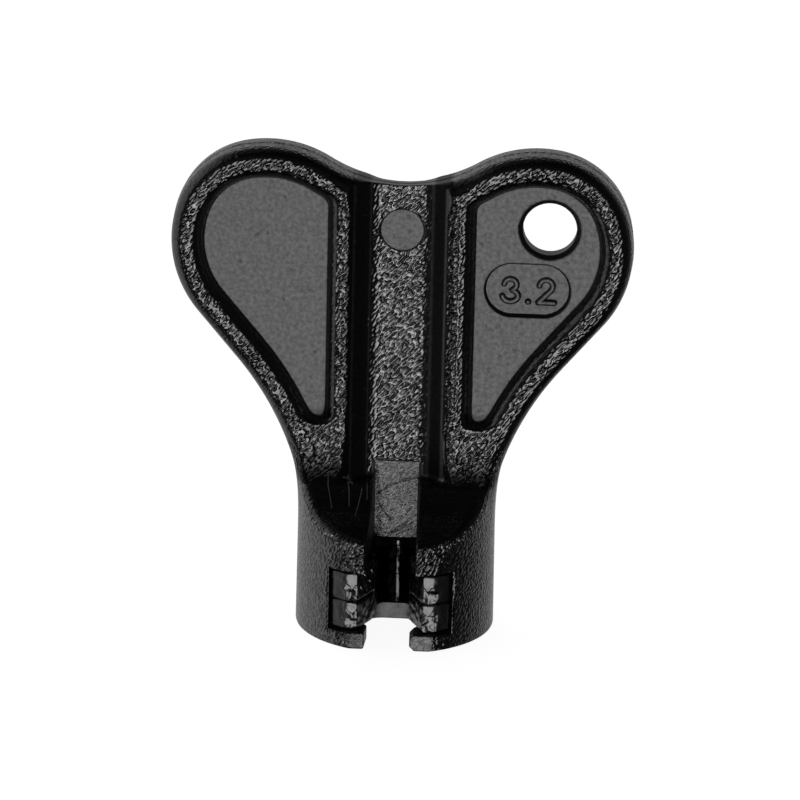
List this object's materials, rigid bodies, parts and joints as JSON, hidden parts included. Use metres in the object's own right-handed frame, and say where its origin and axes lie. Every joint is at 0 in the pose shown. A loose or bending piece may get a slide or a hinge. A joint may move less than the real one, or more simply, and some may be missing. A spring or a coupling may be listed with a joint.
{
  "type": "spoke wrench",
  "caption": "Spoke wrench for wheel spoke nipples: heart-shaped moulded handle on a slotted barrel that holds stacked steel jaw plates.",
  "frame": {"origin": "on the axis of the barrel, at the flat foot that the tool stands on", "axes": "+Z from the jaw's foot up to the wings, +X to the wing with the hanging hole, -Y the side that the slot and the mouth open to"},
  "size_m": [0.045, 0.0193, 0.0488],
  "materials": {
    "black_nylon": "spark-eroded texture with smooth panels",
    "blackened_steel": "blackened, rubbed bright on the edges"
  },
  "bodies": {
    "root": {"handle": "black_nylon", "upper_jaw_plate": "blackened_steel", "lower_jaw_plate": "blackened_steel"}
  },
  "joints": []
}
